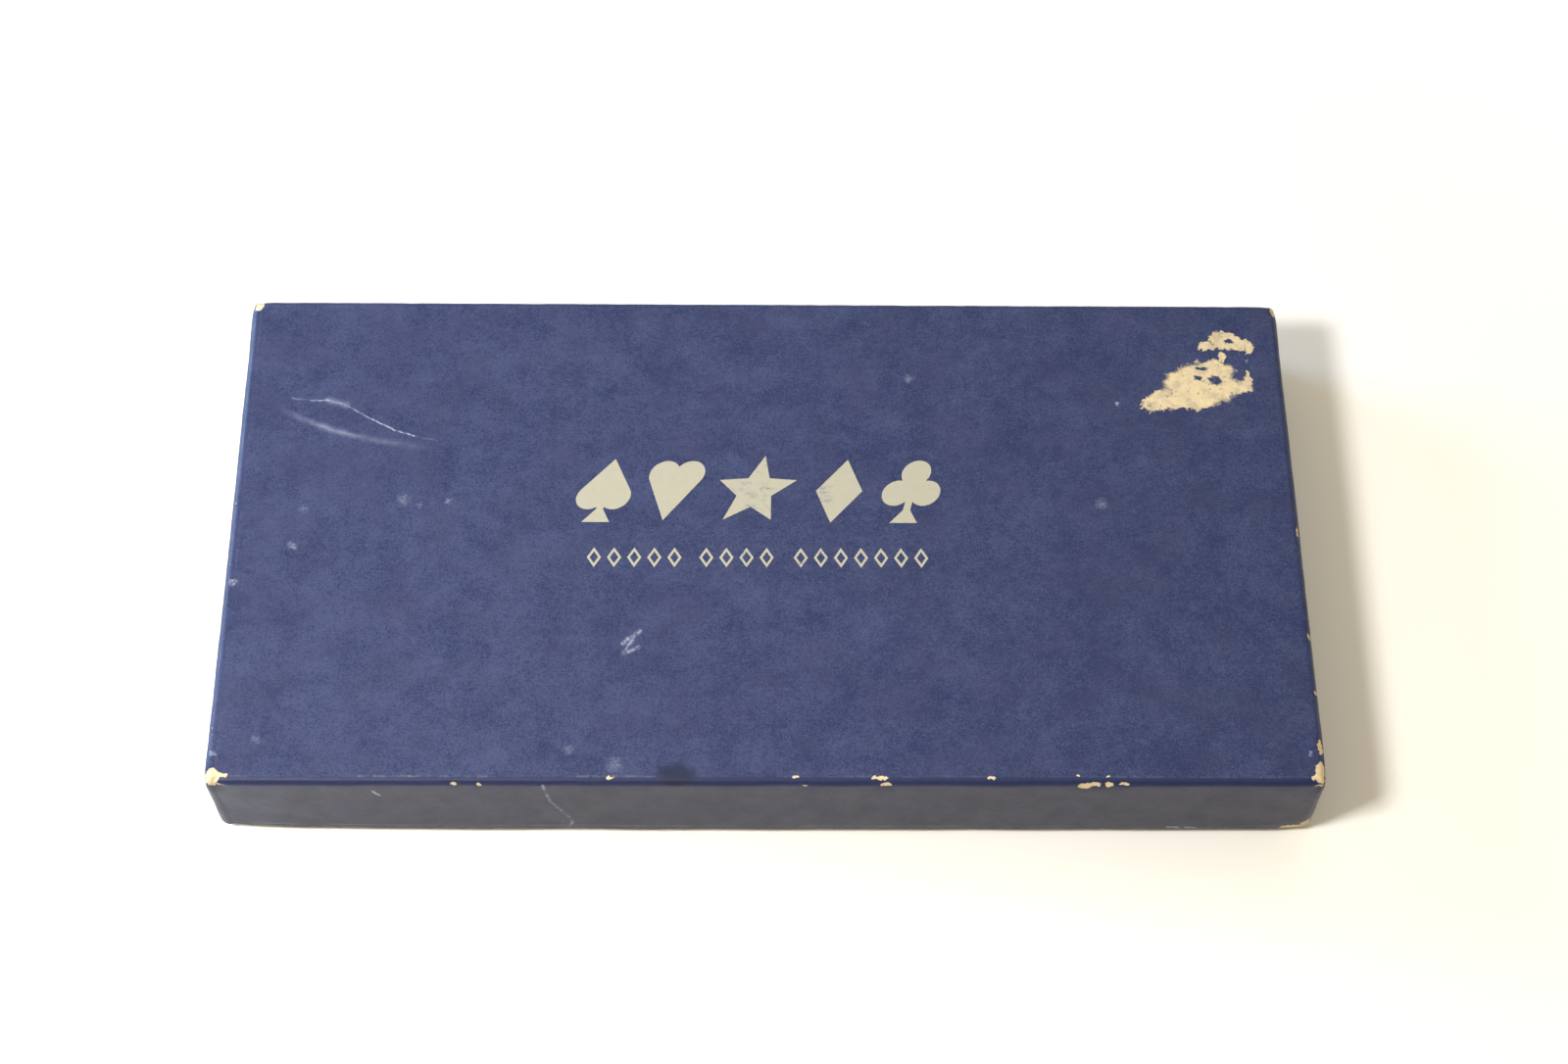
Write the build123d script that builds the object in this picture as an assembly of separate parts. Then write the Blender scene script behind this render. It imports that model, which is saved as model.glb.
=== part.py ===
from build123d import *
import math
import os

# A rigid set-up box for three packs of bridge-size playing cards: a shallow tray with two
# folded-card dividers, three packs of 52 cards and two jokers, a stapled rules booklet on
# top of them, and a telescoping lift-off lid that covers the tray almost to the table.
#
# Frame: millimetres, +Z up, +X along the box, -Y the long front side. The origin is on
# the table, at the middle of the tray's underside.

# Playing cards, bridge size
CARD_LENGTH = 88.9
CARD_WIDTH = 57.15
CARD_THICKNESS = 0.28
CARD_PITCH = 0.285
CARD_CORNER = 3.2
CARDS_PER_PACK = 52
JOKERS_PER_PACK = 2
JOKER_EVERY = 20
CARD_STRAY = 0.22
CARD_TWIST_DEG = 0.12
GOLDEN_TURN = 2.39996
PACK_PHASE = 1.7

# Sheet materials
PAPER = 0.1
BOARD = 1.0
DIVIDER_CARD = 0.5
INK = 0.02

# Fits
CARD_PLAY_X = 1.75
CARD_PLAY_Y = 1.6
LID_GAP = 0.35
LID_REST_GAP = 0.08

# Box layout
PACKS = 3
DIVIDER_WIDTH = 2.4
HEIGHT = 19.6
LID_RIM_HEIGHT = 2.0
TURN_IN = 12.0
TURN_UNDER = 8.0
BASE_PAPER_MARGIN = 0.6
LINING_MARGIN = 0.2
DIVIDER_DROP = 2.8
DIVIDER_END_PLAY = 0.05

# Edges worn round by handling
LID_FOLD = 1.1
LID_CORNER = 1.5
TRAY_FOLD = 0.6
TRAY_CORNER = 1.2
DIVIDER_FOLD = 0.4

# Corner stays: paper tape over the butted corners of the board
STAY_LEG = 11.0
STAY_END = 1.2

# Rules booklet
BOOKLET_LENGTH = 112.0
BOOKLET_DEPTH = 84.0
BOOKLET_LIFT = 0.02
COVER_SHEET = 0.16
PAGE_SHEET = 0.09
PAGE_SHEETS = 3
BOOKLET_GAP = 0.36
STAPLE_WIRE = 0.3
STAPLE_CROWN = 12.0
STAPLE_SPACING = 44.0
STAPLE_CLINCH_GAP = 1.6

# Printed decoration on the lid: five leaning pips over three groups of small lozenges
PIP_HEIGHT = 12.8
PIP_LEAN = 0.26
PIP_ROW_Y = 8.2
PIP_X = (-28.6, -16.9, -2.2, 12.6, 25.4)
LOZENGE_ROW_Y = -5.2
LOZENGE_WIDTH = 2.5
LOZENGE_HEIGHT = 3.9
LOZENGE_STROKE = 0.42
LOZENGE_PITCH = 3.5
LOZENGE_GROUPS = ((-23.3, 5), (-5.5, 4), (16.2, 7))

# Pip shapes, in units of the pip height; leaves and hearts as width, height, lobe radius
SPADE_LEAF = (0.74, 0.8, 0.2)
SPADE_RISE = 0.1
HEART = (0.76, 0.94, 0.208)
STAR_POINTS = 5
STAR_REACH = 0.56
STAR_WAIST = 0.25
STAR_DROP = 0.04
DIAMOND_HALF_WIDTH = 0.32
CLUB_LOBE = 0.2
CLUB_TOP_Y = 0.29
CLUB_SIDE_Y = -0.03
CLUB_MIDDLE = 0.15
STALK_NECK = 0.05
STALK_FOOT = 0.19
STALK_FLARE_Y = -0.3
PIP_HALF = 0.5

# The booklet's folds are rounded to this share of half their thickness
SPINE_ROUND = 0.9

# Sizes that follow
WALL = PAPER + BOARD + PAPER
ROOM_X = CARD_WIDTH + CARD_PLAY_X
ROOM_Y = CARD_LENGTH + CARD_PLAY_Y
TRAY_INSIDE_X = PACKS * ROOM_X + (PACKS - 1) * DIVIDER_WIDTH
TRAY_INSIDE_Y = ROOM_Y
TRAY_X = TRAY_INSIDE_X + 2 * WALL
TRAY_Y = TRAY_INSIDE_Y + 2 * WALL
LID_INSIDE_X = TRAY_X + 2 * LID_GAP
LID_INSIDE_Y = TRAY_Y + 2 * LID_GAP
LID_X = LID_INSIDE_X + 2 * WALL
LID_Y = LID_INSIDE_Y + 2 * WALL

LID_TOP = HEIGHT - INK
LID_CEILING = LID_TOP - PAPER - BOARD - PAPER
TRAY_RIM = LID_CEILING - LID_REST_GAP
TRAY_BOARD_BASE = 2 * PAPER
TRAY_FLOOR = TRAY_BOARD_BASE + BOARD + PAPER

CARDS_IN_PACK = CARDS_PER_PACK + JOKERS_PER_PACK
PACK_TOP = TRAY_FLOOR + CARDS_IN_PACK * CARD_PITCH
PACK_STEP = ROOM_X + DIVIDER_WIDTH


def block(length, width, bottom, top, corner=0.0):
    """An upright block centred on the Z axis, with its vertical edges rounded."""
    outline = RectangleRounded(length, width, corner) if corner else Rectangle(length, width)
    return Pos(0, 0, bottom) * extrude(outline, top - bottom)


def folded_block(length, width, bottom, top, corner, fold, folded_side):
    """A block whose top or bottom rim is rounded too, like board bent along a score."""
    body = block(length, width, bottom, top, corner)
    rim_face = body.faces().sort_by(Axis.Z)[-1 if folded_side == "top" else 0]
    return fillet(rim_face.edges(), fold)


def ring(length, width, thickness, bottom, top):
    """A band lying against the inside of a rectangular wall."""
    outside = block(length, width, bottom, top)
    return outside - block(length - 2 * thickness, width - 2 * thickness, bottom, top)


def corner_stays(length, width, corner, bottom, top):
    """Four L-shaped strips of tape in the outer skin of a box's vertical corners."""
    skin = block(length, width, bottom, top, corner)
    skin -= block(length - 2 * PAPER, width - 2 * PAPER, bottom, top, corner - PAPER)
    stays = []
    for side_x in (-1, 1):
        for side_y in (-1, 1):
            reach = block(2 * STAY_LEG, 2 * STAY_LEG, bottom, top)
            stays.append(skin & Pos(side_x * length / 2, side_y * width / 2, 0) * reach)
    return stays


def separate(shapes):
    """The solids of several shapes, kept apart in one compound."""
    return Compound(children=[solid for shape in shapes for solid in shape.solids()])


def lid():
    """Board, stays, printed wrap and lining of the lift-off lid."""
    board_x = LID_X - 2 * PAPER
    board_y = LID_Y - 2 * PAPER
    board_top = LID_TOP - PAPER
    board_rim = LID_RIM_HEIGHT + PAPER
    filled = folded_block(
        board_x, board_y, board_rim, board_top, LID_CORNER - PAPER, LID_FOLD - PAPER, "top"
    )
    inside_x = board_x - 2 * BOARD
    inside_y = board_y - 2 * BOARD
    stays = corner_stays(
        board_x, board_y, LID_CORNER - PAPER, board_rim + STAY_END, board_top - STAY_END
    )
    board = filled - block(inside_x, inside_y, board_rim, board_top - BOARD)
    for stay in stays:
        board -= stay

    wrap = folded_block(LID_X, LID_Y, LID_RIM_HEIGHT, LID_TOP, LID_CORNER, LID_FOLD, "top")
    wrap -= filled
    wrap -= block(LID_INSIDE_X, LID_INSIDE_Y, LID_RIM_HEIGHT, board_rim)
    wrap += ring(inside_x, inside_y, PAPER, LID_RIM_HEIGHT, LID_RIM_HEIGHT + TURN_IN)

    lining = block(
        inside_x - 2 * LINING_MARGIN, inside_y - 2 * LINING_MARGIN, LID_CEILING, LID_CEILING + PAPER
    )
    return {
        "lid_board": board,
        "lid_corner_stays": separate(stays),
        "lid_wrap": wrap,
        "lid_lining": lining,
    }


def tray():
    """Board, stays, side wrap, base paper and floor lining of the tray."""
    board_x = TRAY_X - 2 * PAPER
    board_y = TRAY_Y - 2 * PAPER
    board_rim = TRAY_RIM - PAPER
    filled = folded_block(
        board_x, board_y, TRAY_BOARD_BASE, board_rim, TRAY_CORNER - PAPER, TRAY_FOLD - PAPER, "bottom"
    )
    inside_x = board_x - 2 * BOARD
    inside_y = board_y - 2 * BOARD
    stays = corner_stays(
        board_x, board_y, TRAY_CORNER - PAPER, TRAY_BOARD_BASE + STAY_END, board_rim - STAY_END
    )
    board = filled - block(inside_x, inside_y, TRAY_BOARD_BASE + BOARD, board_rim)
    for stay in stays:
        board -= stay

    wrap = folded_block(TRAY_X, TRAY_Y, PAPER, TRAY_RIM, TRAY_CORNER, TRAY_FOLD, "bottom")
    wrap -= filled
    wrap -= block(TRAY_INSIDE_X, TRAY_INSIDE_Y, board_rim, TRAY_RIM)
    wrap -= block(TRAY_X - 2 * TURN_UNDER, TRAY_Y - 2 * TURN_UNDER, PAPER, TRAY_BOARD_BASE)
    wrap += ring(inside_x, inside_y, PAPER, TRAY_RIM - TURN_IN, TRAY_RIM)

    base_inset = 2 * (TRAY_FOLD + BASE_PAPER_MARGIN)
    base_paper = block(TRAY_X - base_inset, TRAY_Y - base_inset, 0, PAPER)
    lining = block(
        inside_x - 2 * LINING_MARGIN, inside_y - 2 * LINING_MARGIN, TRAY_FLOOR - PAPER, TRAY_FLOOR
    )
    return {
        "tray_board": board,
        "tray_corner_stays": separate(stays),
        "tray_side_wrap": wrap,
        "tray_base_paper": base_paper,
        "tray_lining": lining,
    }


def divider(side):
    """One strip of card folded into a flat tube, standing across the tray."""
    height = TRAY_RIM - DIVIDER_DROP - TRAY_FLOOR
    outline = Rectangle(DIVIDER_WIDTH, height)
    outline = fillet(outline.vertices().group_by(Axis.Y)[-1], DIVIDER_FOLD)
    outline -= Rectangle(DIVIDER_WIDTH - 2 * DIVIDER_CARD, height - 2 * DIVIDER_CARD)
    length = TRAY_INSIDE_Y - 2 * DIVIDER_END_PLAY
    tube = extrude(Plane.XZ * outline, length / 2, both=True)
    return Pos(side * PACK_STEP / 2, 0, TRAY_FLOOR + height / 2) * tube


def card(place, pack_number):
    """One card of a pack, a little out of line with its neighbours."""
    turn = place * GOLDEN_TURN + pack_number * PACK_PHASE
    stray_x = CARD_STRAY * math.sin(turn)
    stray_y = CARD_STRAY * math.sin(2 * turn + pack_number)
    twist = CARD_TWIST_DEG * math.cos(3 * turn)
    blank = extrude(RectangleRounded(CARD_WIDTH, CARD_LENGTH, CARD_CORNER), CARD_THICKNESS)
    middle_x = (pack_number - 1) * PACK_STEP
    height = TRAY_FLOOR + place * CARD_PITCH
    return Pos(middle_x + stray_x, stray_y, height) * Rot(0, 0, twist) * blank


def pack(name, pack_number):
    """A pack of cards, with its jokers shuffled in, as two groups of separate cards."""
    joker_places = [(n + 1) * JOKER_EVERY - pack_number for n in range(JOKERS_PER_PACK)]
    cards = [card(place, pack_number) for place in range(CARDS_IN_PACK)]
    jokers = [cards[place] for place in joker_places]
    suits = [cards[place] for place in range(CARDS_IN_PACK) if place not in joker_places]
    return {f"{name}_cards": separate(suits), f"{name}_jokers": separate(jokers)}


def folded_sheet(inset, sheet, half_gap, middle_z):
    """A sheet folded in half round the booklet's spine, as a U seen from the front."""
    spine = -BOOKLET_LENGTH / 2 + inset
    half_height = half_gap + sheet
    length = BOOKLET_LENGTH / 2 - spine
    outside = Pos(spine, 0, 0) * Rectangle(length, 2 * half_height, align=(Align.MIN, Align.CENTER))
    folds = outside.vertices().sort_by(Axis.X)[:2]
    outside = fillet(folds, half_height * SPINE_ROUND)
    inside = Pos(spine + sheet, 0, 0) * Rectangle(length, 2 * half_gap, align=(Align.MIN, Align.CENTER))
    inner_folds = inside.vertices().sort_by(Axis.X)[:2]
    inside = fillet(inner_folds, half_gap * SPINE_ROUND)
    sheet_body = extrude(Plane.XZ * (outside - inside), BOOKLET_DEPTH / 2, both=True)
    return Pos(0, 0, middle_z) * sheet_body


def staple(offset_y, middle_z, stack):
    """A flat wire staple: crown outside the spine, legs through it, ends clinched."""
    spine = -BOOKLET_LENGTH / 2
    leg = stack + 2 * STAPLE_WIRE
    clinch = (STAPLE_CROWN - STAPLE_CLINCH_GAP) / 2
    wire = Box(STAPLE_WIRE, STAPLE_CROWN, STAPLE_WIRE, align=(Align.MIN, Align.CENTER, Align.CENTER))
    for side in (-1, 1):
        end_y = side * (STAPLE_CROWN - STAPLE_WIRE) / 2
        leg_bar = Box(leg, STAPLE_WIRE, STAPLE_WIRE, align=(Align.MIN, Align.CENTER, Align.CENTER))
        bent_bar = Box(STAPLE_WIRE, clinch, STAPLE_WIRE, align=(Align.MIN, Align.CENTER, Align.CENTER))
        bent_y = side * (STAPLE_CROWN - clinch) / 2
        wire += Pos(0, end_y, 0) * leg_bar
        wire += Pos(leg - STAPLE_WIRE, bent_y, 0) * bent_bar
    return Pos(spine - STAPLE_WIRE, offset_y, middle_z) * wire


def booklet():
    """Cover, nested pages and two staples of the rules booklet, lying on the packs."""
    stack = COVER_SHEET + PAGE_SHEETS * PAGE_SHEET
    middle_z = PACK_TOP + BOOKLET_LIFT + stack + BOOKLET_GAP / 2
    staples = [staple(side * STAPLE_SPACING / 2, middle_z, stack) for side in (-1, 1)]

    cover_gap = BOOKLET_GAP / 2 + PAGE_SHEETS * PAGE_SHEET
    cover = folded_sheet(0.0, COVER_SHEET, cover_gap, middle_z)
    pages = []
    for number in range(PAGE_SHEETS):
        inset = COVER_SHEET + number * PAGE_SHEET
        half_gap = cover_gap - (number + 1) * PAGE_SHEET
        pages.append(folded_sheet(inset, PAGE_SHEET, half_gap, middle_z))
    for wire in staples:
        cover -= wire
        pages = [page - wire for page in pages]
    return {
        "booklet_cover": cover,
        "booklet_pages": separate(pages),
        "booklet_staples": separate(staples),
    }


def lean(outline):
    """Lean a flat film to the right by a constant slope."""
    shear = Matrix([[1, PIP_LEAN, 0, 0], [0, 1, 0, 0], [0, 0, 1, 0], [0, 0, 0, 1]])
    return outline.transform_geometry(shear)


def lobes(*centres, radius):
    """Round lobes of one radius, joined into one outline."""
    outline = Pos(*centres[0]) * Circle(radius)
    for centre in centres[1:]:
        outline += Pos(*centre) * Circle(radius)
    return outline


def stalk():
    """The flared foot of a spade or club pip."""
    half = [(STALK_NECK, 0), (STALK_NECK, STALK_FLARE_Y), (STALK_FOOT, -PIP_HALF)]
    mirrored = [(-x, y) for x, y in half]
    return Polygon(*mirrored, *half[::-1], align=None)


def heart_pip(width, height, lobe_radius):
    """A heart with round lobes and straight flanks, its tip at the bottom."""
    lobe_x = width / 2 - lobe_radius
    lobe_y = height / 2 - lobe_radius
    tip_y = -height / 2
    reach = math.hypot(lobe_x, lobe_y - tip_y)
    flank = math.sqrt(reach**2 - lobe_radius**2)
    angle = math.atan2(lobe_x, lobe_y - tip_y) + math.asin(lobe_radius / reach)
    flank_x = flank * math.sin(angle)
    flank_y = flank * math.cos(angle) + tip_y
    wedge = Polygon((0, tip_y), (flank_x, flank_y), (0, lobe_y), (-flank_x, flank_y), align=None)
    return wedge + lobes((-lobe_x, lobe_y), (lobe_x, lobe_y), radius=lobe_radius)


def star_pip(points, reach, waist):
    """A star with one point up."""
    corners = []
    for number in range(2 * points):
        radius = reach if number % 2 == 0 else waist
        angle = math.radians(90 + 180 * number / points)
        corners.append((radius * math.cos(angle), radius * math.sin(angle)))
    return Polygon(*corners, align=None)


def pips():
    """Spade, heart, star, diamond and club, each about one unit high and centred."""
    spade = Pos(0, SPADE_RISE, 0) * Rot(0, 0, 180) * heart_pip(*SPADE_LEAF) + stalk()
    heart = heart_pip(*HEART)
    star = Pos(0, -STAR_DROP, 0) * star_pip(STAR_POINTS, STAR_REACH, STAR_WAIST)
    wide = DIAMOND_HALF_WIDTH
    diamond = Polygon((wide, 0), (0, PIP_HALF), (-wide, 0), (0, -PIP_HALF), align=None)
    leaves = ((0, CLUB_TOP_Y), (-CLUB_LOBE, CLUB_SIDE_Y), (CLUB_LOBE, CLUB_SIDE_Y))
    club = lobes(*leaves, radius=CLUB_LOBE) + Circle(CLUB_MIDDLE) + stalk()
    return (spade, heart, star, diamond, club)


def suit_print():
    """The row of leaning pips, as a film of ink on the wrap."""
    films = []
    for middle_x, pip in zip(PIP_X, pips()):
        film = lean(extrude(scale(pip, by=PIP_HEIGHT), INK).solid())
        films.append(Pos(middle_x, PIP_ROW_Y, LID_TOP) * film)
    return separate(films)


def lozenge(grow):
    """A lozenge outline, smaller by the same stroke on every side when grow is negative."""
    half_x = LOZENGE_WIDTH / 2
    half_y = LOZENGE_HEIGHT / 2
    slope = math.hypot(half_x, half_y)
    reach_x = half_x + grow * slope / half_y
    reach_y = half_y + grow * slope / half_x
    return Polygon((reach_x, 0), (0, reach_y), (-reach_x, 0), (0, -reach_y), align=None)


def rule_print():
    """Three groups of small open lozenges under the pips."""
    outline = lozenge(0.0) - lozenge(-LOZENGE_STROKE)
    films = []
    for middle_x, count in LOZENGE_GROUPS:
        for number in range(count):
            x = middle_x + (number - (count - 1) / 2) * LOZENGE_PITCH
            films.append(Pos(x, LOZENGE_ROW_Y, LID_TOP) * extrude(outline, INK))
    return separate(films)


def nodes():
    """Every separate piece or group of like pieces, by name."""
    parts = {}
    parts.update(lid())
    parts["lid_suit_print"] = suit_print()
    parts["lid_rule_print"] = rule_print()
    parts.update(tray())
    parts["divider_left"] = divider(-1)
    parts["divider_right"] = divider(1)
    for pack_number, name in enumerate(("pack_left", "pack_middle", "pack_right")):
        parts.update(pack(name, pack_number))
    parts.update(booklet())
    return parts


os.makedirs("parts", exist_ok=True)
for name, shape in nodes().items():
    export_step(shape, f"parts/{name}.step")
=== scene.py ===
import math

import bmesh
import bpy
import numpy as np
from mathutils import Matrix, Vector, noise


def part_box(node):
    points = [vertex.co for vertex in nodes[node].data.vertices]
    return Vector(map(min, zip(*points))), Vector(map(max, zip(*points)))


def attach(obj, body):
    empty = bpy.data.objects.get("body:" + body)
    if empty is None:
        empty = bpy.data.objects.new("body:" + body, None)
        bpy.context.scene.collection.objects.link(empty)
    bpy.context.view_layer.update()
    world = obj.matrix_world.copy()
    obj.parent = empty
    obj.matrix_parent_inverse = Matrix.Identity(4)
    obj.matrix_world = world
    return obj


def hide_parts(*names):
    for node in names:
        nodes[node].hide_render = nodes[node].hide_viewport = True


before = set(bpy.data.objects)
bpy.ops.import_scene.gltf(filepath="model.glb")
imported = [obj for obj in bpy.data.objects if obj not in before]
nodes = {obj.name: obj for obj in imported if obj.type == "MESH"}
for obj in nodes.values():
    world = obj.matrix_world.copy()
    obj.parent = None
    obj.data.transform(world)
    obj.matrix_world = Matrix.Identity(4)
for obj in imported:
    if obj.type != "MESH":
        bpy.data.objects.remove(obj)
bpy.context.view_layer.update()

# A worn card box: navy covering paper on a telescoping lid, a pale tray, three packs of cards
# and a rules booklet. Lengths are millimetres in the part's frame, and MM turns them into
# metres where a mesh or the camera is made. The lamps are placed in metres.
MM = 0.001


def node_box(name):
    """Lowest and highest corner of a CAD node, in millimetres."""
    low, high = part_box(name)
    return np.array(low) / MM, np.array(high) / MM


lid_low, lid_high = node_box("lid_wrap")
LID_HALF = lid_high[:2]
LID_TOP = lid_high[2]
LID_RIM = lid_low[2]
tray_low, tray_high = node_box("tray_side_wrap")
TRAY_HALF = tray_high[:2]
TRAY_RIM = tray_high[2]
TRAY_BASE = tray_low[2]
PAPER = 0.1
BOARD = 1.0
TURN_IN = 12.0
TURN_UNDER = 8.0


# ---------------------------------------------------------------- shells of covering paper

def side_steps(length, step):
    """Places along a straight side, in millimetres from its start: close together near
    both corners, where the paper's cut edge lies, and evenly spaced between."""
    near = [0.25, 0.5, 0.56, 0.9, 1.4, 2.0, 2.8, 3.8]
    middle = np.linspace(near[-1], length - near[-1], int((length - 2 * near[-1]) / step) + 2)
    return np.array(near + list(middle[1:-1]) + [length - d for d in reversed(near)])


class Outline:
    """Samples round a rounded rectangle. Every ring has the same samples, so rings join up."""

    ARC_STEPS = 8

    def __init__(self, half, step):
        self.half = np.array(half, float)
        self.along_x = side_steps(2 * half[0], step) / (2 * half[0])
        self.along_y = side_steps(2 * half[1], step) / (2 * half[1])

    def ring(self, inset, radius):
        """Points, outward normals and distance from the nearest corner, anticlockwise from
        the middle of the corner at low x, low y."""
        half_x, half_y = self.half - inset
        points, normals, reach = [], [], []
        sides = (
            ((-half_x, -half_y), (1, 0), 2 * half_x, self.along_x),
            ((half_x, -half_y), (0, 1), 2 * half_y, self.along_y),
            ((half_x, half_y), (-1, 0), 2 * half_x, self.along_x),
            ((-half_x, half_y), (0, -1), 2 * half_y, self.along_y),
        )
        arc = self.ARC_STEPS // 2
        for start, way, length, places in sides:
            way = np.array(way, float)
            out = np.array((way[1], -way[0]))
            start = np.array(start, float)
            first = start + radius * (way - out)
            last = start + way * length - radius * (way + out)
            for n in range(arc):
                turn = math.radians(45 * (1 - n / arc))
                direction = out * math.cos(turn) - way * math.sin(turn)
                points.append(first + radius * direction)
                normals.append(direction)
                reach.append(0.0)
            straight = length - 2 * radius
            for place in np.concatenate(([0.0], places, [1.0])):
                points.append(first + radius * out + way * straight * place)
                normals.append(out)
                reach.append(min(place, 1 - place) * straight)
            for n in range(1, arc):
                turn = math.radians(45 * n / arc)
                direction = out * math.cos(turn) + way * math.sin(turn)
                points.append(last + radius * direction)
                normals.append(direction)
                reach.append(0.0)
        return np.array(points), np.array(normals), np.array(reach)

    def counts(self):
        """Samples along each of the four sides of the grid that fills a ring."""
        arc = self.ARC_STEPS
        return arc + len(self.along_x) + 1, arc + len(self.along_y) + 1


def fill_ring(ring, counts, height):
    """Grid of points that spans a closed ring: a Coons patch from its four sides."""
    nx, ny = counts
    low = ring[:nx + 1]
    right = ring[nx:nx + ny + 1]
    high = ring[nx + ny:2 * nx + ny + 1][::-1]
    left = np.concatenate((ring[2 * nx + ny:], ring[:1]))[::-1]
    u = np.linspace(0, 1, nx + 1)[None, :, None]
    v = np.linspace(0, 1, ny + 1)[:, None, None]
    grid = (1 - v) * low[None] + v * high[None] + (1 - u) * left[:, None] + u * right[:, None]
    grid -= (1 - u) * (1 - v) * low[0] + u * (1 - v) * low[-1] + (1 - u) * v * high[0] + u * v * high[-1]
    return np.concatenate((grid, np.full(grid.shape[:2] + (1,), height)), axis=2)


def smooth_step(x, low, high):
    """0 below low, 1 above high, and a smooth change between."""
    t = np.clip((x - low) / (high - low), 0, 1)
    return t * t * (3 - 2 * t)


def mesh_object(name, verts, faces, sharp_deg=38.0):
    """A mesh object with smooth shading that breaks at sharp edges. verts in millimetres."""
    mesh = bpy.data.meshes.new(name)
    mesh.from_pydata([tuple(v) for v in np.asarray(verts) * MM], [], faces)
    bm = bmesh.new()
    bm.from_mesh(mesh)
    bmesh.ops.remove_doubles(bm, verts=bm.verts, dist=1e-7)
    bmesh.ops.recalc_face_normals(bm, faces=bm.faces)
    for face in bm.faces:
        face.smooth = True
    for edge in bm.edges:
        edge.smooth = edge.is_manifold and edge.calc_face_angle(0.0) < math.radians(sharp_deg)
    bm.to_mesh(mesh)
    bm.free()
    piece = bpy.data.objects.new(name, mesh)
    bpy.context.scene.collection.objects.link(piece)
    return piece


def ring_faces(first, second, count):
    """Quads between two rings of count samples."""
    faces = []
    for n in range(count):
        following = (n + 1) % count
        faces.append((first + n, first + following, second + following, second + n))
    return faces


CALM_BAND = 4.0
CALM_CORNER = 1.5
CALM_SHARES = (0.12, 0.35, 0.65, 1.0)


def shell(name, outline, rings, shape, capped):
    """A closed skin from a list of (inset, height, corner radius) rings. capped says how its
    ends are closed: "grid" fills the first ring with quads, "flat" fills the last ring with
    one face, and "closed" joins the last ring to the first."""
    verts, faces = [], []
    for inset, height, radius in rings:
        points, normals, reach = outline.ring(inset, radius)
        verts.append(shape(points, normals, reach, np.full(len(points), height), inset))
    count = len(verts[0])
    for n in range(len(rings) - 1):
        faces += ring_faces(n * count, (n + 1) * count, count)
    stack = np.concatenate(verts)
    if "grid" in capped:
        # The wear round the edge dies away over the first few millimetres of the flat panel
        inset, height, _ = rings[0]
        calm = outline.ring(inset + CALM_BAND, CALM_CORNER)[0]
        calm = np.column_stack((calm, np.full(count, height)))
        edge = 0
        for share in CALM_SHARES:
            faces += ring_faces(edge, len(stack), count)
            edge = len(stack)
            stack = np.concatenate((stack, verts[0] + share * (calm - verts[0])))
        grid = fill_ring(calm[:, :2], outline.counts(), height)
        rows, columns = grid.shape[:2]
        base = len(stack)
        stack = np.concatenate((stack, grid.reshape(-1, 3)))
        for j in range(rows - 1):
            for i in range(columns - 1):
                a = base + j * columns + i
                faces.append((a, a + 1, a + columns + 1, a + columns))
    if "flat" in capped:
        last = (len(rings) - 1) * count
        faces.append(tuple(range(last, last + count))[::-1])
    if "closed" in capped:
        faces += ring_faces((len(rings) - 1) * count, 0, count)
    return mesh_object(name, stack, faces)


def fold_arc(radius, inset, height, steps, corner, downward=True):
    """Rings round a folded edge, from the flat panel to the upright wall."""
    rings = []
    for n in range(steps + 1):
        turn = math.pi / 2 * n / steps
        drop = radius * (1 - math.cos(turn))
        rings.append((inset + radius * (1 - math.sin(turn)), height - drop if downward else height + drop,
                      max(corner - radius * (1 - math.sin(turn)), 0.05)))
    return rings


# Wear on the lid: chips where the navy coat is gone down to the cream core, each an
# ellipsoid (x, y, z, and its three radii)
CHIPS = (
    (-93.0, -46.9, 19.4, 1.6, 1.7, 1.2),
    (-91.5, -46.5, 19.7, 1.5, 0.4, 0.5),
    (-92.2, -48.0, 18.5, 1.5, 0.5, 0.4),
    (92.9, -45.9, 19.4, 1.3, 2.2, 1.0),
    (91.9, -46.8, 19.7, 1.1, 0.5, 0.5),
    (92.8, -48.0, 18.5, 1.4, 0.6, 0.4),
    (93.4, -47.6, 16.4, 0.4, 0.5, 0.4),
    (93.3, -41.0, 19.4, 0.9, 1.6, 0.8),
    (93.5, -30.8, 19.3, 0.6, 0.6, 0.7),
    (93.4, -20.1, 19.4, 0.6, 0.7, 0.6),
    (93.4, 0.4, 19.4, 0.6, 1.1, 0.6),
    (93.2, 46.9, 19.3, 0.7, 1.4, 0.8),
    (-92.8, 47.0, 19.5, 1.0, 1.4, 0.8),
    (91.4, -48.4, 2.5, 3.4, 1.3, 1.0),
    (92.6, -47.7, 3.6, 1.3, 1.1, 1.2),
    (-52.6, -47.9, 18.9, 0.6, 0.6, 0.5),
    (-48.4, -47.9, 18.9, 0.45, 0.5, 0.4),
    (-26.6, -46.9, 19.7, 0.7, 0.35, 0.4),
    (4.3, -46.8, 19.7, 0.7, 0.35, 0.4),
    (6.0, -48.1, 18.6, 0.5, 0.3, 0.3),
    (18.6, -46.9, 19.7, 1.7, 0.5, 0.5),
    (19.5, -47.9, 18.8, 1.0, 0.6, 0.5),
    (37.2, -46.9, 19.7, 0.8, 0.35, 0.4),
    (51.7, -46.4, 19.7, 0.45, 0.25, 0.4),
    (52.9, -47.9, 18.4, 1.3, 0.7, 0.9),
    (54.6, -47.8, 18.9, 1.1, 0.6, 0.5),
    (56.9, -47.8, 18.9, 0.8, 0.6, 0.6),
    (56.8, -46.6, 19.7, 0.4, 0.3, 0.4),
    (59.4, -47.8, 19.0, 0.9, 0.5, 0.4),
)
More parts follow.
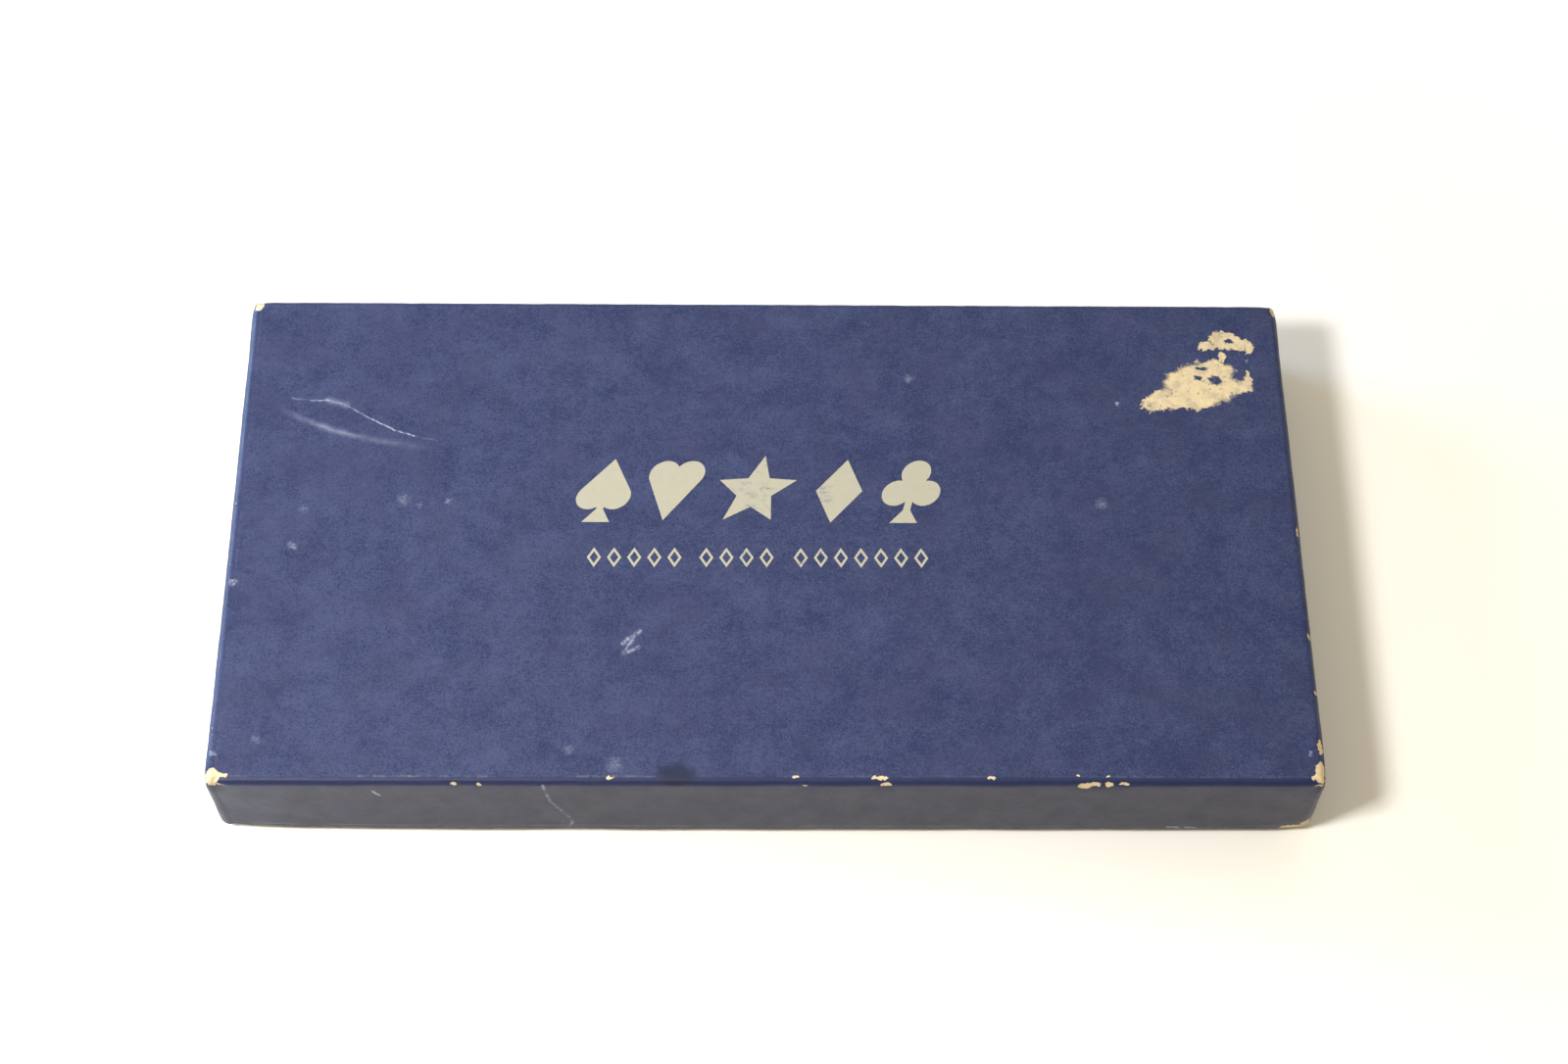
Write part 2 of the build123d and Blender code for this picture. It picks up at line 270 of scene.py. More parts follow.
# Pale scuffed spots in the coat, as (x, y, radius, strength)
PALE_SPOTS = (
    (63.0, 26.5, 0.45, 0.9),
    (-82.7, -3.1, 0.7, 0.55),
    (-81.3, 4.3, 0.8, 0.25),
    (-64.0, 6.2, 1.2, 0.3),
    (-56.2, 6.0, 0.6, 0.4),
    (-61.0, 5.2, 0.5, 0.3),
    (-92.3, -10.3, 0.6, 0.7),
    (-92.9, -42.6, 0.5, 0.6),
    (25.6, 31.6, 0.9, 0.35),
    (58.8, 5.7, 1.1, 0.3),
    (-33.6, -41.8, 0.9, 0.25),
    (-26.0, -44.6, 1.4, 0.3),
    (91.2, -42.3, 0.5, 0.7),
    (87.4, 35.8, 0.4, 0.6),
    (-86.1, -40.0, 0.7, 0.3),
)
CHIP_DEPTH = 0.22


def chip_depth(x, y, z):
    """How far chips set the surface back at each point, in millimetres."""
    depth = np.zeros(len(x))
    for cx, cy, cz, rx, ry, rz in CHIPS:
        far = np.sqrt(((x - cx) / rx) ** 2 + ((y - cy) / ry) ** 2 + ((z - cz) / rz) ** 2)
        depth = np.maximum(depth, CHIP_DEPTH * min(rx, 1.0) * (1 - smooth_step(far, 0.5, 1.3)))
    return depth


# A wall bows least near its corners, over BOW_REACH, and the corners at the two ends hold it
# by these shares
BOW_REACH = 14.0
BOW_POWER = 1.2
HELD_LEFT = 0.95
HELD_RIGHT = 0.2


def wall_bow(reach, height, low, high, amount, held):
    """How far a wall leans out between its corners, most at its free edge. held is the
    share of the bow that a corner takes away."""
    free = np.clip((high - height) / (high - low), 0, 1) ** BOW_POWER
    return amount * free * (1 - held * np.exp(-reach / BOW_REACH))


def ripple_at(points, heights, scale, height_scale, offset):
    """Slow random swell of a surface at each point."""
    return np.array([noise.noise(Vector((p[0] * scale, p[1] * scale, offset + h * height_scale)))
                     for p, h in zip(points, heights)])


# The cut edge of the end panel stands proud of the flap that is folded round the corner
FLAP_EDGE = 0.53
FLAP_STEP = 0.12
LID_BOW = 0.8
LEFT_FLARE = 0.3
CORNER_CRUSH = 0.14
CRUSH_REACH = 1.6
FOLD_RIPPLE = 0.07
LID_WALL_RIPPLE = 0.1


def end_panel_step(points, normals, reach):
    return FLAP_STEP * (np.abs(normals[:, 0]) > 0.99) * (reach > FLAP_EDGE)


def lid_shape(points, normals, reach, heights, inset):
    """Bow, crush and ripple of the lid's skin. Inner and outer rings move together."""
    held = np.where(points[:, 0] > 0, HELD_RIGHT, HELD_LEFT)
    push = wall_bow(reach, heights, LID_RIM, LID_TOP, LID_BOW, held)
    upright = smooth_step(LID_TOP - heights, 0.5, 0.9)
    push += end_panel_step(points, normals, reach) * upright
    near_fold = 1 - smooth_step(LID_TOP - heights, 0.6, 2.2)
    corner = np.exp(-(reach / CRUSH_REACH) ** 2) * near_fold
    ripple = ripple_at(points, heights, 0.35, 0.0, 3.7)
    push -= near_fold * FOLD_RIPPLE * np.clip(ripple + 0.3, 0, 1)
    push += LID_WALL_RIPPLE * ripple_at(points, heights, 0.09, 0.15, 0.0) * upright
    push -= CORNER_CRUSH * corner
    frontward = (LID_HALF[1] - points[:, 1]) / (2 * LID_HALF[1])
    push += LEFT_FLARE * (1 + frontward ** 3) * np.clip(-normals[:, 0], 0, 1)
    x = points[:, 0] + normals[:, 0] * push
    y = points[:, 1] + normals[:, 1] * push
    drop = 0.5 * CORNER_CRUSH * corner * (inset < 1.0)
    chip = chip_depth(points[:, 0], points[:, 1], heights)
    x -= normals[:, 0] * chip
    y -= normals[:, 1] * chip
    return np.stack((x, y, heights - drop - 0.3 * chip * near_fold), axis=1)


LID_FOLD = 1.1
LID_CORNER = 0.9
LID_RIM_CORNER = 1.9
RIM_ROUND = 0.35
INNER_CORNER = 0.15


def lid_corner(height):
    """The vertical corners are sharper at the fold than at the rim."""
    share = (LID_TOP - height) / (LID_TOP - LID_RIM)
    return LID_CORNER + (LID_RIM_CORNER - LID_CORNER) * share


def paper_skin_rings(top, rim, fold, corner_at, wall, turn_in, thickness):
    """Rings of a sheet wrapped over a panel, down the wall, round its free edge and up
    inside, and back along its hidden side."""
    outer = fold_arc(fold, 0.0, top, 6, corner_at(top))
    span = np.linspace(top - fold, rim + RIM_ROUND, 12)[1:]
    outer += [(0.0, h, corner_at(h)) for h in span]
    for n in range(1, 5):
        turn = math.pi / 2 * n / 4
        inset = RIM_ROUND * (1 - math.cos(turn))
        outer.append((inset, rim + RIM_ROUND * (1 - math.sin(turn)), corner_at(rim) - inset))
    inner = []
    for n in range(4, -1, -1):
        turn = math.pi / 2 * n / 4
        inset = wall - RIM_ROUND * (1 - math.cos(turn))
        height = rim + RIM_ROUND * (1 - math.sin(turn))
        inner.append((inset, height, max(corner_at(rim) - inset, INNER_CORNER)))
    inner += [(wall, h, INNER_CORNER) for h in np.linspace(rim + RIM_ROUND, rim + turn_in, 6)[1:]]
    hidden = [
        (wall - thickness, rim + turn_in, INNER_CORNER),
        (wall - thickness, rim + RIM_ROUND, INNER_CORNER),
        (wall - RIM_ROUND, rim + thickness, INNER_CORNER),
        (RIM_ROUND, rim + thickness, corner_at(rim) - RIM_ROUND),
        (thickness, rim + RIM_ROUND, corner_at(rim) - thickness),
    ]
    span = np.linspace(rim + RIM_ROUND, top - fold, 6)[1:]
    hidden += [(thickness, h, corner_at(h) - thickness) for h in span]
    fold_back = fold_arc(fold - thickness, thickness, top - thickness, 4, corner_at(top) - thickness)[::-1]
    return outer + inner + hidden + fold_back[1:]


def lid_wrap():
    """The printed navy wrap, as a 0.1 mm skin with a worn outside."""
    outline = Outline(LID_HALF, 1.0)
    rings = paper_skin_rings(LID_TOP, LID_RIM, LID_FOLD, lid_corner, 2 * PAPER + BOARD, TURN_IN, PAPER)
    piece = shell("lid_wrap_worn", outline, rings, lid_shape, ("grid", "flat"))
    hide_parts("lid_wrap")
    return piece


BOARD_SETBACK = 0.4


def lid_board():
    """The lid's chipboard, bowed with its wrap and set back behind it."""
    outline = Outline(LID_HALF, 3.0)
    back = PAPER + BOARD_SETBACK
    top = LID_TOP - back
    rim = LID_RIM + PAPER
    edge = rim + 0.3
    wall = PAPER + BOARD
    rings = fold_arc(LID_FOLD - PAPER, back, top, 3, lid_corner(top))
    rings += [(back, h, lid_corner(h) - back) for h in np.linspace(top - LID_FOLD, rim + 0.4, 8)[1:]]
    rings += [(back, edge, lid_corner(rim) - back), (wall, edge, INNER_CORNER)]
    rings += [(wall, h, INNER_CORNER) for h in np.linspace(edge, LID_TOP - PAPER - BOARD, 8)[1:]]
    piece = shell("lid_board_bowed", outline, rings, lid_shape, ("grid", "flat"))
    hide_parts("lid_board")
    return piece


def corner_strips(name, outline, low, high, leg, inset, thickness, corner_at, shape):
    """Paper strips that hold the four upright corners, bent round them behind the wrap."""
    heights = np.linspace(low, high, 7)
    reach = outline.ring(inset, corner_at(low) - inset)[2]
    near = reach <= leg
    start = int(np.argmin(near))
    order = [(start + n) % len(near) for n in range(len(near))]
    runs, run = [], []
    for n in order + [start]:
        if near[n]:
            run.append(n)
        elif run:
            runs.append(run)
            run = []
    verts, faces = [], []
    for run in runs:
        first = len(verts)
        count = 2 * len(run)
        for h in heights:
            section = []
            for depth, members in ((inset, run), (inset + thickness, run[::-1])):
                points, normals, near_corner = outline.ring(depth, corner_at(h) - depth)
                placed = shape(points, normals, near_corner, np.full(len(points), h), depth)
                section += [tuple(placed[n]) for n in members]
            verts += section
        for level in range(len(heights) - 1):
            faces += ring_faces(first + level * count, first + (level + 1) * count, count)
        last = first + (len(heights) - 1) * count
        faces.append(tuple(range(first, first + count)))
        faces.append(tuple(range(last, last + count))[::-1])
    return mesh_object(name, verts, faces)


STAY_LEG = 10.0
STAY_END = 1.0
STAY_INSET = 0.25


def lid_corner_stays():
    """The lid's four corner strips."""
    low = LID_RIM + PAPER + STAY_END
    high = LID_TOP - LID_FOLD - STAY_END
    piece = corner_strips("lid_corner_stays_bowed", Outline(LID_HALF, 3.0), low, high, STAY_LEG,
                          STAY_INSET, PAPER, lid_corner, lid_shape)
    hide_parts("lid_corner_stays")
    return piece


TRAY_FOLD = 0.6
TRAY_CORNER = 1.2
TRAY_INNER_CORNER = 0.12
TRAY_RIM_ROUND = 0.3
TRAY_BOW = 0.15
TRAY_WALL_RIPPLE = 0.05
TRAY_FLAP_SHARE = 0.6


def tray_shape(points, normals, reach, heights, inset):
    """The tray's walls lean out a little at the rim, and its end panels stand proud."""
    push = wall_bow(reach, -heights, -TRAY_RIM, -TRAY_BASE, TRAY_BOW, HELD_LEFT)
    upright = smooth_step(heights - TRAY_BASE, 0.4, 0.8)
    push += TRAY_FLAP_SHARE * end_panel_step(points, normals, reach) * upright
    push += TRAY_WALL_RIPPLE * ripple_at(points, heights, 0.1, 0.2, 9.1) * upright
    moved = points + normals * push[:, None]
    return np.column_stack((moved, heights))


def tray_side_wrap():
    """The tray's covering paper: under the base, up the walls, over the rim and inside."""
    outline = Outline(TRAY_HALF, 1.6)
    wall = 2 * PAPER + BOARD
    rings = [(TURN_UNDER, TRAY_BASE, 0.1)]
    rings += fold_arc(TRAY_FOLD, 0.0, TRAY_BASE, 5, TRAY_CORNER, downward=False)
    below_rim = TRAY_RIM - TRAY_RIM_ROUND
    rings += [(0.0, h, TRAY_CORNER) for h in np.linspace(TRAY_BASE + TRAY_FOLD, below_rim, 9)[1:]]
    for n in range(1, 4):
        turn = math.pi / 2 * n / 3
        inset = TRAY_RIM_ROUND * (1 - math.cos(turn))
        rings.append((inset, TRAY_RIM - TRAY_RIM_ROUND * (1 - math.sin(turn)), TRAY_CORNER - inset))
    for n in range(3, -1, -1):
        turn = math.pi / 2 * n / 3
        inset = wall - TRAY_RIM_ROUND * (1 - math.cos(turn))
        height = TRAY_RIM - TRAY_RIM_ROUND * (1 - math.sin(turn))
        rings.append((inset, height, max(TRAY_CORNER - inset, TRAY_INNER_CORNER)))
    rings += [(wall, h, TRAY_INNER_CORNER) for h in np.linspace(below_rim, TRAY_RIM - TURN_IN, 5)[1:]]
    rings.append((wall - PAPER, TRAY_RIM - TURN_IN, TRAY_INNER_CORNER))
    rings.append((wall - PAPER, below_rim, TRAY_INNER_CORNER))
    rings.append((PAPER + 0.2, TRAY_RIM - PAPER, TRAY_CORNER - 0.3))
    rings.append((PAPER, below_rim, TRAY_CORNER - PAPER))
    rings.append((PAPER, TRAY_BASE + TRAY_FOLD, TRAY_CORNER - PAPER))
    inside = fold_arc(TRAY_FOLD - PAPER, PAPER, TRAY_BASE + PAPER, 3, TRAY_CORNER - PAPER, downward=False)
    rings += inside[::-1][1:]
    rings.append((TURN_UNDER, TRAY_BASE + PAPER, 0.1))
    piece = shell("tray_side_wrap_folded", outline, rings, tray_shape, ("closed",))
    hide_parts("tray_side_wrap")
    return piece


# ---------------------------------------------------------------- materials

class Shader:
    """A material's node tree, built with short calls. Places are in millimetres."""

    def __init__(self, name):
        self.material = bpy.data.materials.new(name)
        self.material.use_nodes = True
        self.tree = self.material.node_tree
        self.tree.nodes.clear()
        output = self.node("ShaderNodeOutputMaterial")
        self.skin = self.node("ShaderNodeBsdfPrincipled")
        self.tree.links.new(self.skin.outputs[0], output.inputs["Surface"])
        self.skin.inputs["IOR"].default_value = 1.5
        self.place = self.scaled(self.node("ShaderNodeTexCoord").outputs["Object"], (1 / MM,) * 3)
        self.split = self.node("ShaderNodeSeparateXYZ")
        self.put(self.split.inputs[0], self.place)

    def node(self, kind):
        return self.tree.nodes.new(kind)

    def put(self, socket, value):
        if isinstance(value, bpy.types.NodeSocket):
            self.tree.links.new(value, socket)
        else:
            socket.default_value = value

    def math(self, operation, a, b=0.0, clamp=False):
        made = self.node("ShaderNodeMath")
        made.operation = operation
        made.use_clamp = clamp
        self.put(made.inputs[0], a)
        self.put(made.inputs[1], b)
        return made.outputs[0]

    def vector(self, operation, a, b=(0.0, 0.0, 0.0)):
        made = self.node("ShaderNodeVectorMath")
        made.operation = operation
        self.put(made.inputs[0], a)
        self.put(made.inputs[1], b)
        return made.outputs["Value" if operation in ("LENGTH", "DOT_PRODUCT") else "Vector"]

    def scaled(self, place, factors):
        return self.vector("MULTIPLY", place, factors)

    def noise(self, scale, detail=3.0, roughness=0.55, place=None, colour=False):
        made = self.node("ShaderNodeTexNoise")
        self.put(made.inputs["Vector"], self.place if place is None else place)
        made.inputs["Scale"].default_value = scale
        made.inputs["Detail"].default_value = detail
        made.inputs["Roughness"].default_value = roughness
        return made.outputs["Color" if colour else "Fac"]

    def rise(self, value, low, high, at_low=0.0, at_high=1.0):
        """at_low below low, at_high above high, and a smooth change between."""
        made = self.node("ShaderNodeMapRange")
        made.interpolation_type = "SMOOTHSTEP"
        for socket, number in zip(made.inputs[:5], (value, low, high, at_low, at_high)):
            self.put(socket, number)
        return made.outputs[0]

    def mix(self, share, first, second):
        made = self.node("ShaderNodeMix")
        made.data_type = "RGBA"
        self.put(made.inputs["Factor"], share)
        self.put(made.inputs[6], (*first, 1.0) if isinstance(first, tuple) else first)
        self.put(made.inputs[7], (*second, 1.0) if isinstance(second, tuple) else second)
        return made.outputs[2]

    def strayed(self, amount, scale, place=None):
        """The place moved about by noise, for ragged outlines."""
        place = self.place if place is None else place
        drift = self.vector("SUBTRACT", self.noise(scale, 2.0, place=place, colour=True), (0.5, 0.5, 0.5))
        return self.vector("ADD", place, self.scaled(drift, (2 * amount,) * 3))

    def spot(self, place, centre, radii):
        """Distance from an ellipsoid's middle: 1 on its surface."""
        offset = self.vector("SUBTRACT", place, centre)
        return self.vector("LENGTH", self.scaled(offset, tuple(1 / r for r in radii)))

    def nearest(self, distances):
        least = distances[0]
        for distance in distances[1:]:
            least = self.math("MINIMUM", least, distance)
        return least

    def line(self, place, start, end):
        """Distance in millimetres from a straight stretch."""
        start, end = Vector(start), Vector(end)
        along = end - start
        offset = self.vector("SUBTRACT", place, tuple(start))
        share = self.vector("DOT_PRODUCT", offset, tuple(along / along.length_squared))
        share = self.math("ADD", share, 0.0, clamp=True)
        foot = self.node("ShaderNodeVectorMath")
        foot.operation = "SCALE"
        self.put(foot.inputs[0], tuple(along))
        self.put(foot.inputs["Scale"], share)
        return self.vector("LENGTH", self.vector("SUBTRACT", offset, foot.outputs["Vector"]))

    def polyline(self, place, points):
        return self.nearest([self.line(place, a, b) for a, b in zip(points, points[1:])])

    def bump(self, height, distance, under=None):
        made = self.node("ShaderNodeBump")
        made.inputs["Distance"].default_value = distance * MM
        self.put(made.inputs["Height"], height)
        if under is not None:
            self.put(made.inputs["Normal"], under)
        return made.outputs[0]

    def finish(self, colour, roughness, normal):
        self.put(self.skin.inputs["Base Color"], (*colour, 1.0) if isinstance(colour, tuple) else colour)
        self.put(self.skin.inputs["Roughness"], roughness)
        self.put(self.skin.inputs["Normal"], normal)
        return self.material


def dress(target, material):
    """Gives a new piece or a CAD node its one material."""
    target.data.materials.clear()
    target.data.materials.append(material)


def fibre(shader, length, width):
    """Crossed paper fibres, as a height from 0 to 1."""
    along = shader.noise(1.0, 2.0, place=shader.scaled(shader.place, (1 / length, 1 / width, 1 / width)))
    across = shader.noise(1.0, 2.0, place=shader.scaled(shader.place, (1 / width, 1 / length, 1 / length)))
    return shader.math("MULTIPLY", shader.math("ADD", along, across), 0.5)


NAVY_DEEP = (0.011, 0.017, 0.066)
NAVY_PALE = (0.048, 0.058, 0.132)
NAVY_VIOLET = (0.034, 0.032, 0.084)
CLOUD_STRENGTH = 2.5
FINE_STRENGTH = 3.6
FIBRE_STRENGTH = 1.2
# The walls' greyer navy, a painted sheen
WALL_GREY_SHEEN = (0.026, 0.028, 0.046)
CREAM_CORE = (0.68, 0.55, 0.33)
CREAM_PALE = (0.60, 0.50, 0.33)
SCUFF_PALE = (0.34, 0.37, 0.50)
# Pale wear at the folds, also the painted highlight above the rim
FOLD_WEAR_AND_RIM_HIGHLIGHT = (0.15, 0.155, 0.21)
# A real stain's dark navy, also the painted shade just above the rim
STAIN_AND_RIM_SHADE = (0.010, 0.013, 0.034)

# Where the coat is rubbed off in the back right corner: ellipses (x, y, radius x, radius y), and the holes
# of coat left inside them
ABRASION = (
    (78.6, 30.6, 7.2, 4.6),
    (80.6, 33.4, 4.4, 2.6),
    (73.2, 27.6, 4.6, 2.4),
    (69.8, 26.6, 2.5, 1.9),
    (83.9, 30.3, 4.2, 2.0),
    (76.8, 26.7, 4.4, 1.6),
    (83.2, 40.2, 2.9, 2.3),
    (85.4, 39.6, 3.2, 1.5),
    (79.9, 38.8, 1.7, 1.0),
    (87.7, 38.8, 1.0, 1.4),
    (82.6, 36.4, 1.0, 0.7),
    (87.1, 31.9, 0.7, 1.8),
)
ABRASION_HOLES = (
    (80.9, 31.4, 1.1, 0.9),
    (78.2, 32.0, 0.9, 0.4),
    (78.6, 34.0, 1.2, 0.35),
    (85.4, 32.4, 1.4, 1.3),
    (84.2, 39.9, 0.9, 0.5),
    (71.8, 33.4, 1.8, 0.7),
    (82.4, 26.0, 1.4, 0.8),
)
# Scratches on the top as (x, y) points, and marks on the front wall as (x, z) points
LONG_SCRATCH = ((-81.8, 26.5), (-78.6, 26.6), (-75.4, 25.6), (-71.6, 23.2), (-66.2, 20.3), (-62.9, 19.2))
SCRATCH_ENDS = ((-86.2, 27.2), (-81.8, 26.5)), ((-62.9, 19.2), (-58.6, 18.2))
FAINT_SCRATCH = ((-88.8, 25.1), (-82.6, 22.6), (-77.4, 20.3), (-71.9, 18.8), (-66.0, 17.7), (-57.0, 16.0))
SCUFF_MARKS = (
    ((-24.7, -23.8), (-22.9, -20.4)),
    ((-24.0, -23.6), (-22.2, -22.6)),
    ((-23.4, -20.6), (-22.0, -19.6)),
    ((-24.9, -22.0), (-24.0, -21.0)),
)
WALL_CRACK = ((-37.8, 18.6), (-36.9, 13.2), (-35.4, 9.6), (-33.9, 6.6), (-33.4, 4.4), (-34.3, 2.5))
WALL_NICK = ((-66.2, 16.4), (-65.8, 15.4), (-65.3, 14.8))
RIM_SCRAPES = (((68.8, 2.9), (70.6, 2.9)), ((72.0, 2.8), (73.6, 2.7)))


def navy_tone(s, grain):
    """The coat's colour: soft blotches of every size over fibres, and a painted highlight that makes it
    paler to the left, where the light comes from.
    """
    x = s.split.outputs[0]
    cloud = s.noise(0.10, 6.0, 0.86)
    fine = s.noise(3.0, 3.0, 0.9)
    tone = s.math("MULTIPLY", s.math("SUBTRACT", cloud, 0.5), CLOUD_STRENGTH)
    tone = s.math("ADD", tone, s.math("MULTIPLY", s.math("SUBTRACT", fine, 0.5), FINE_STRENGTH))
    tone = s.math("ADD", tone, s.math("MULTIPLY", s.math("SUBTRACT", grain, 0.5), FIBRE_STRENGTH))
    # Painted light: the coat is painted paler to the left and darker to the right, where less light falls
    tone = s.math("ADD", tone, s.rise(x, -float(LID_HALF[0]), float(LID_HALF[0]), 0.60, 0.33), clamp=True)
    navy = s.mix(tone, NAVY_DEEP, NAVY_PALE)
    violet = s.rise(s.noise(0.12, 3.0, 0.6, place=s.scaled(s.place, (1.0, 1.0, -1.0))), 0.45, 0.66, 0.0, 0.3)
    return s.mix(violet, navy, NAVY_VIOLET)


def on_flat(point):
    return point[0], point[1], 0.0


def on_wall(point):
    return point[0], 0.0, point[1]


def scratch_marks(s, on_top, on_front):
    """How strongly each place is scratched pale, from 0 to 1."""
    flat = s.scaled(s.strayed(0.22, 0.9), (1.0, 1.0, 0.0))
    beaded = s.rise(s.noise(1.7, 4.0, 0.75), 0.38, 0.58, 0.15, 1.0)
    patchy = s.rise(s.noise(0.4, 3.0, 0.6), 0.42, 0.6, 0.15, 1.0)
    smeared = s.rise(s.noise(0.5, 3.0, 0.6), 0.35, 0.65, 0.5, 1.0)

    def stroke(points, core, halo, strength, place=flat, lift=on_flat):
        reach = s.polyline(place, [lift(p) for p in points])
        edge = s.rise(reach, core, core + halo, 1.0, 0.0)
        return s.math("MULTIPLY", s.math("POWER", edge, 1.8), strength)

    marks = s.math("MULTIPLY", stroke(LONG_SCRATCH, 0.0, 0.3, 1.0), beaded)
    for end in SCRATCH_ENDS:
        marks = s.math("MAXIMUM", marks, s.math("MULTIPLY", stroke(end, 0.0, 0.35, 0.3), patchy))
    x = s.split.outputs[0]
    bright_part = s.math("MULTIPLY", s.rise(x, -85.0, -79.0), s.rise(x, -75.0, -69.0, 1.0, 0.0))
    whole = s.math("MULTIPLY", s.rise(x, -89.0, -81.0), s.rise(x, -75.0, -57.0, 1.0, 0.0))
    faint = s.math("MULTIPLY", stroke(FAINT_SCRATCH, 0.0, 0.7, 0.45), bright_part)
    faint = s.math("MAXIMUM", faint, s.math("MULTIPLY", stroke(FAINT_SCRATCH, 0.0, 1.3, 0.3), whole))
    marks = s.math("MAXIMUM", marks, s.math("MULTIPLY", faint, smeared))
    marks = s.math("MAXIMUM", marks, stroke(LONG_SCRATCH[1:3], 0.0, 1.3, 0.3))
    for mark in SCUFF_MARKS:
        marks = s.math("MAXIMUM", marks, s.math("MULTIPLY", stroke(mark, 0.0, 0.7, 0.7), beaded))
    rubbed = s.scaled(s.strayed(0.9, 1.3), (1.0, 1.0, 0.0))
    crumbled = s.rise(s.noise(2.2, 4.0, 0.75), 0.36, 0.6, 0.15, 1.0)
    for px, py, radius, strength in PALE_SPOTS:
        far = s.spot(rubbed, (px, py, 0.0), (radius, radius, 1.0))
        spot = s.math("MULTIPLY", s.rise(far, 0.1, 1.5, strength, 0.0), crumbled)
        marks = s.math("MAXIMUM", marks, spot)
    marks = s.math("MULTIPLY", marks, on_top)

    wall = s.scaled(s.strayed(0.3, 1.1), (1.0, 0.0, 1.0))
    low = s.math("MULTIPLY", stroke(WALL_CRACK, 0.0, 0.6, 0.6, wall, on_wall), patchy)
    low = s.math("MAXIMUM", low, stroke(WALL_NICK, 0.05, 0.45, 0.8, wall, on_wall))
    for scrape in RIM_SCRAPES:
        low = s.math("MAXIMUM", low, stroke(scrape, 0.08, 0.3, 0.9, wall, on_wall))
    return s.math("MAXIMUM", marks, s.math("MULTIPLY", low, on_front))


def bare_core(s, on_top, fold_gap):
    """Where the coat is gone and the cream core shows, from 0 to 1."""
    ragged = s.strayed(1.1, 0.5)
    ragged = s.strayed(0.8, 1.4, ragged)
    worn_flat = s.scaled(ragged, (1.0, 1.0, 0.0))

    def patches(ellipses):
        return s.nearest([s.spot(worn_flat, (x, y, 0.0), (rx, ry, 1.0)) for x, y, rx, ry in ellipses])

    rubbed = s.rise(patches(ABRASION), 0.80, 1.02, 1.0, 0.0)
    rubbed = s.math("MULTIPLY", rubbed, s.rise(patches(ABRASION_HOLES), 0.55, 1.3))
    haze = s.rise(s.noise(0.5, 4.0, 0.65), 0.36, 0.56, 0.74, 1.0)
    rubbed = s.math("MULTIPLY", rubbed, haze)
    rubbed = s.math("MULTIPLY", rubbed, s.rise(s.noise(0.9, 5.0, 0.75), 0.30, 0.42, 0.2, 1.0))
    rubbed = s.math("MULTIPLY", rubbed, on_top)
    near = s.strayed(0.5, 1.5)
    chips = s.nearest([s.spot(near, chip[:3], chip[3:]) for chip in CHIPS])
    flecks = s.math("ADD", fold_gap, s.math("MULTIPLY", s.noise(0.8, 6.0, 0.75), 3.0))
    chipped = s.math("MAXIMUM", s.rise(chips, 0.86, 1.0, 1.0, 0.0), s.rise(flecks, 1.2, 1.3, 1.0, 0.0))
    return s.math("MAXIMUM", rubbed, chipped)


